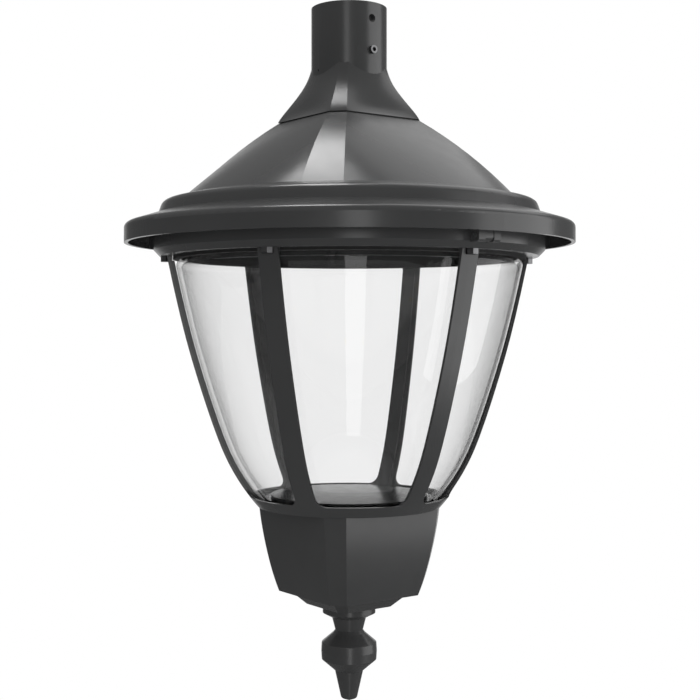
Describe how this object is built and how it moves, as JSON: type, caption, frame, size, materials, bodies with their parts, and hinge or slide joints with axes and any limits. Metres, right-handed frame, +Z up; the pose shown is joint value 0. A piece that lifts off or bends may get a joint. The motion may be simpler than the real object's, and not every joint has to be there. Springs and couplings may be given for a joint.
{
  "type": "hanging garden lantern",
  "caption": "Hanging outdoor lantern: pipe socket neck, domed canopy with a wide brim, hinged frame with a clear bowl in straps, cup and turned finial.",
  "frame": {"origin": "centre of the mouth of the pipe socket at the top of the neck", "axes": "+Z up along the lantern's axis, +X towards the hinge bracket and the set screw"},
  "size_m": [0.4505, 0.4506, 0.6993],
  "materials": {
    "cast_paint": "cast, with a fine satin powder coat",
    "seal_rubber": "matt black",
    "clear": "clear, polished",
    "steel": "bright zinc",
    "dark_steel": "blackened",
    "tray_metal": "mill",
    "housing": "white moulded",
    "gland_plastic": "black moulded",
    "board_white": "white solder mask",
    "source_yellow": "phosphor"
  },
  "bodies": {
    "canopy": {"neck_casting": "cast_paint", "neck_gasket": "seal_rubber", "neck_bolts": "steel", "canopy_casting": "cast_paint", "cable_gland": "gland_plastic", "canopy_gasket": "seal_rubber", "gear_tray": "tray_metal", "tray_screws": "steel", "driver": "housing", "surge_protector": "housing", "terminal_block": "housing", "earth_screw": "steel", "light_board": "board_white", "light_sources": "source_yellow", "lens_plate": "clear", "lens_screws": "steel"},
    "set_screw": {"set_screw": "dark_steel"},
    "frame": {"body_ring": "cast_paint", "hinge_pin": "steel", "cage_casting": "cast_paint", "cage_bolts": "dark_steel", "bowl_seal": "seal_rubber", "clear_bowl": "clear", "foot_seal": "seal_rubber", "clamp_seal": "seal_rubber", "clamp_disc": "cast_paint", "tie_rod": "steel", "cup_casting": "cast_paint", "cup_plinth": "cast_paint", "finial": "cast_paint"},
    "closure_screw": {"closure_screw": "dark_steel"}
  },
  "joints": [
    {"name": "frame_hinge", "type": "hinge", "parent": "canopy", "child": "frame", "pos_m": [0.202, 0, -0.2408], "axis": [0, -1, 0], "range_deg": [0, 90]},
    {"name": "closure_travel", "type": "slide", "parent": "frame", "child": "closure_screw", "axis": [0, 0, -1], "range_m": [0, 0.012]},
    {"name": "set_screw_travel", "type": "slide", "parent": "canopy", "child": "set_screw", "axis": [-1, 0, 0], "range_m": [-0.004, 0.0022]}
  ]
}
